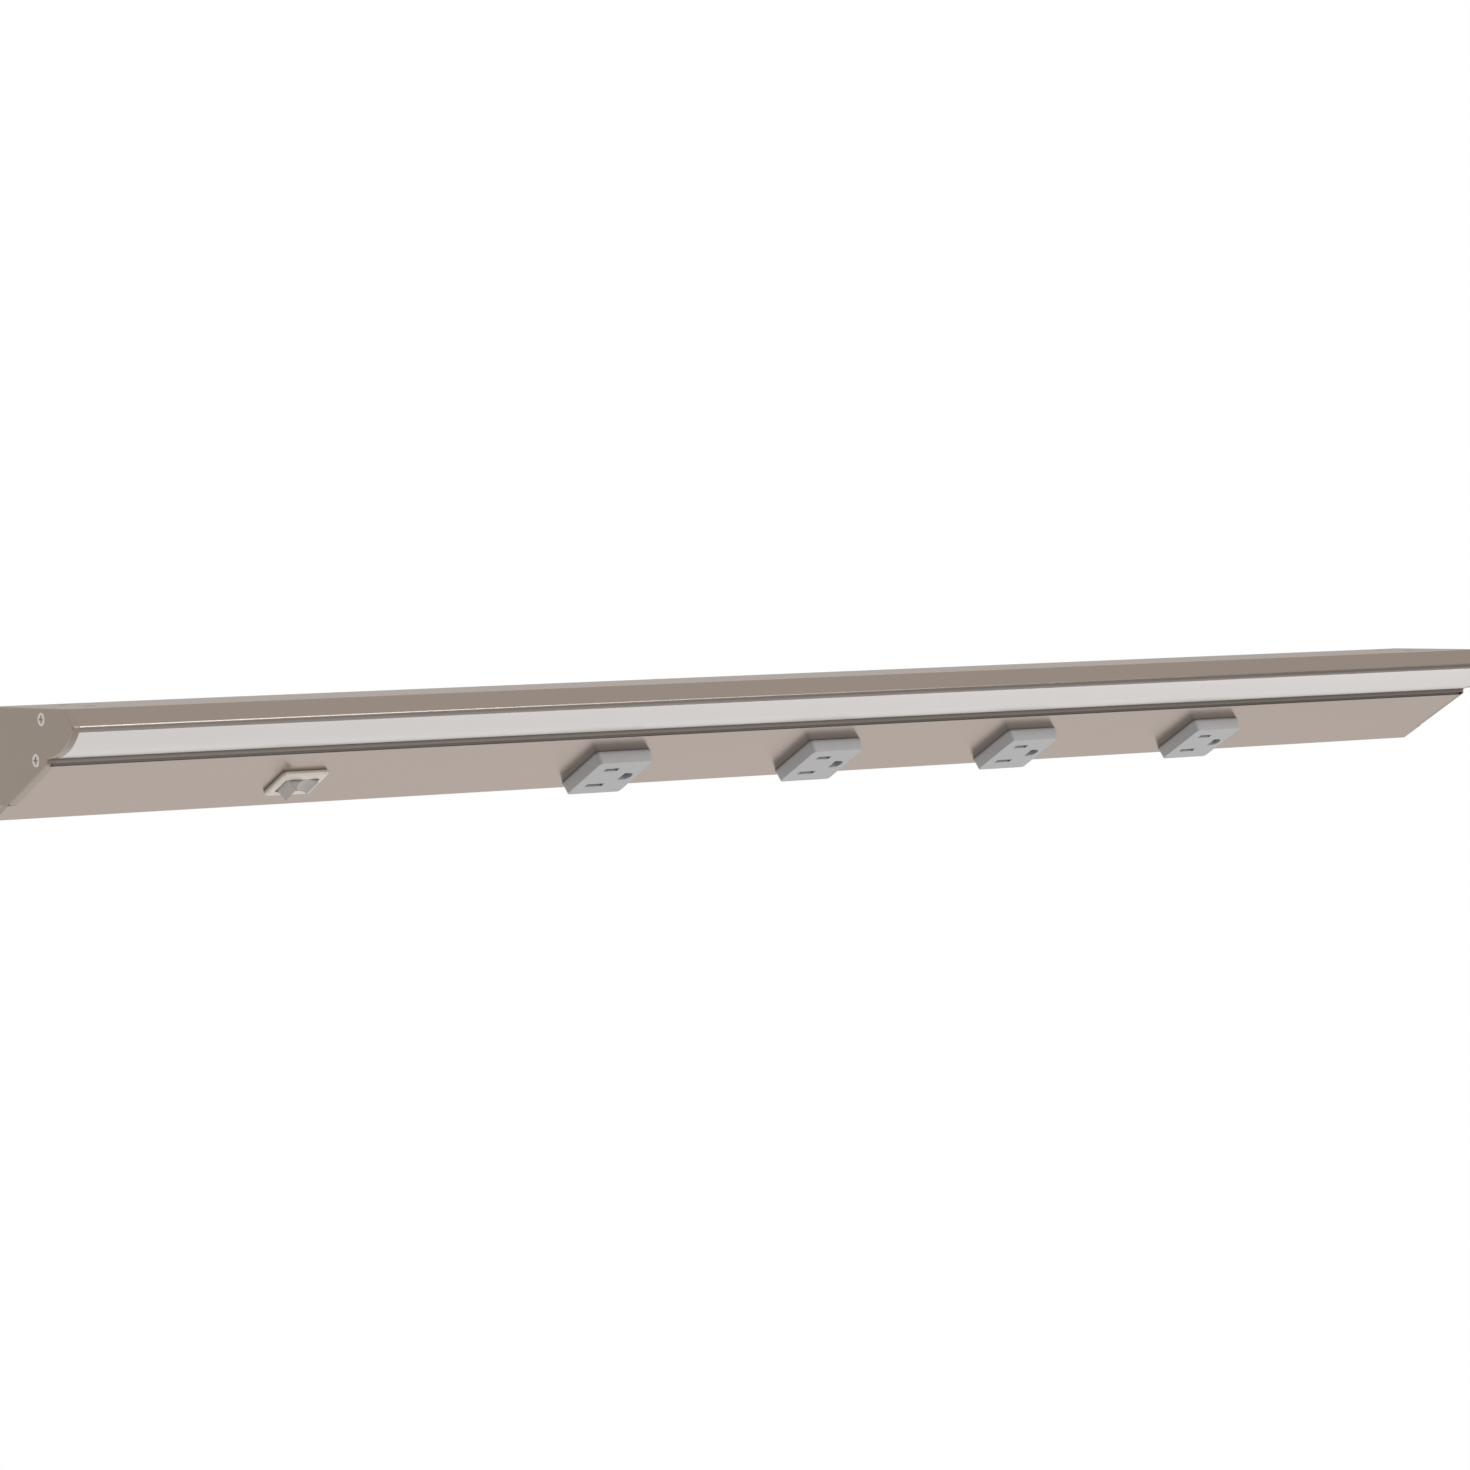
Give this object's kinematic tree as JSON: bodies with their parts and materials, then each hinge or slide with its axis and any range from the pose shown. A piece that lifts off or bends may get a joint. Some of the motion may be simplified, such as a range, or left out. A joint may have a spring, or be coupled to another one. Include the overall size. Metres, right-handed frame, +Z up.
{
  "type": "under cabinet power strip",
  "caption": "Long wedge-shaped strip for the underside of a cabinet, with a rounded light lens along its front, grounded outlets and a rocker switch on its slanted face.",
  "frame": {"origin": "middle of the flat top face, which lies against the underside of the cabinet", "axes": "+X along the strip to the right seen from the front, +Y back to the wall, +Z up into the cabinet"},
  "size_m": [0.762, 0.0571, 0.044],
  "materials": {
    "housing": "satin, warm grey anodised",
    "power_panel": "satin to gloss, warm grey anodised",
    "lens": "opal, satin",
    "end_cap": "satin, warm grey",
    "screw": "plated",
    "light_board": "white solder mask",
    "light_chip": "yellow resin",
    "outlet_face": "satin, cool grey",
    "outlet_back": "black moulding",
    "contact": "plain",
    "switch_frame": "dark grey moulding",
    "rocker": "satin, grey",
    "wire_dark": "black insulation",
    "wire_white": "white insulation",
    "wire_green": "green insulation",
    "driver": "white case",
    "bushing": "black nylon"
  },
  "bodies": {
    "strip": {"housing": "housing", "power_panel": "power_panel", "lens": "lens", "end_cap_left": "end_cap", "end_cap_right": "end_cap", "cap_screws_left": "screw", "cap_screws_right": "screw", "light_board": "light_board", "light_chips": "light_chip", "outlet_1_face": "outlet_face", "outlet_1_back": "outlet_back", "outlet_1_hot_contact": "contact", "outlet_1_neutral_contact": "contact", "outlet_1_ground_contact": "contact", "outlet_2_face": "outlet_face", "outlet_2_back": "outlet_back", "outlet_2_hot_contact": "contact", "outlet_2_neutral_contact": "contact", "outlet_2_ground_contact": "contact", "outlet_3_face": "outlet_face", "outlet_3_back": "outlet_back", "outlet_3_hot_contact": "contact", "outlet_3_neutral_contact": "contact", "outlet_3_ground_contact": "contact", "outlet_4_face": "outlet_face", "outlet_4_back": "outlet_back", "outlet_4_hot_contact": "contact", "outlet_4_neutral_contact": "contact", "outlet_4_ground_contact": "contact", "switch_frame": "switch_frame", "switch_common_terminal": "contact", "switch_live_terminal": "contact", "hot_wire": "wire_dark", "switch_wire_common": "wire_dark", "switch_wire_live": "wire_dark", "neutral_wire": "wire_white", "ground_wire": "wire_green", "terminal_block": "outlet_back", "light_driver": "driver", "inlet_bushing": "bushing"},
    "rocker": {"rocker": "rocker", "rocker_plunger": "screw"},
    "lever": {"switch_lever": "contact"}
  },
  "joints": [
    {"name": "rocker_hinge", "type": "hinge", "parent": "strip", "child": "rocker", "pos_m": [-0.259, 0.00553, -0.03142], "axis": [0, 0.866, -0.5], "range_deg": [0, 24]},
    {"name": "lever_hinge", "type": "hinge", "parent": "strip", "child": "lever", "pos_m": [-0.259, 0.00895, -0.02549], "axis": [0, 0.866, -0.5], "range_deg": [-16, 0]}
  ],
  "couplings": [
    {"joint": "lever_hinge", "follows": "rocker_hinge", "ratio": -0.6666}
  ]
}
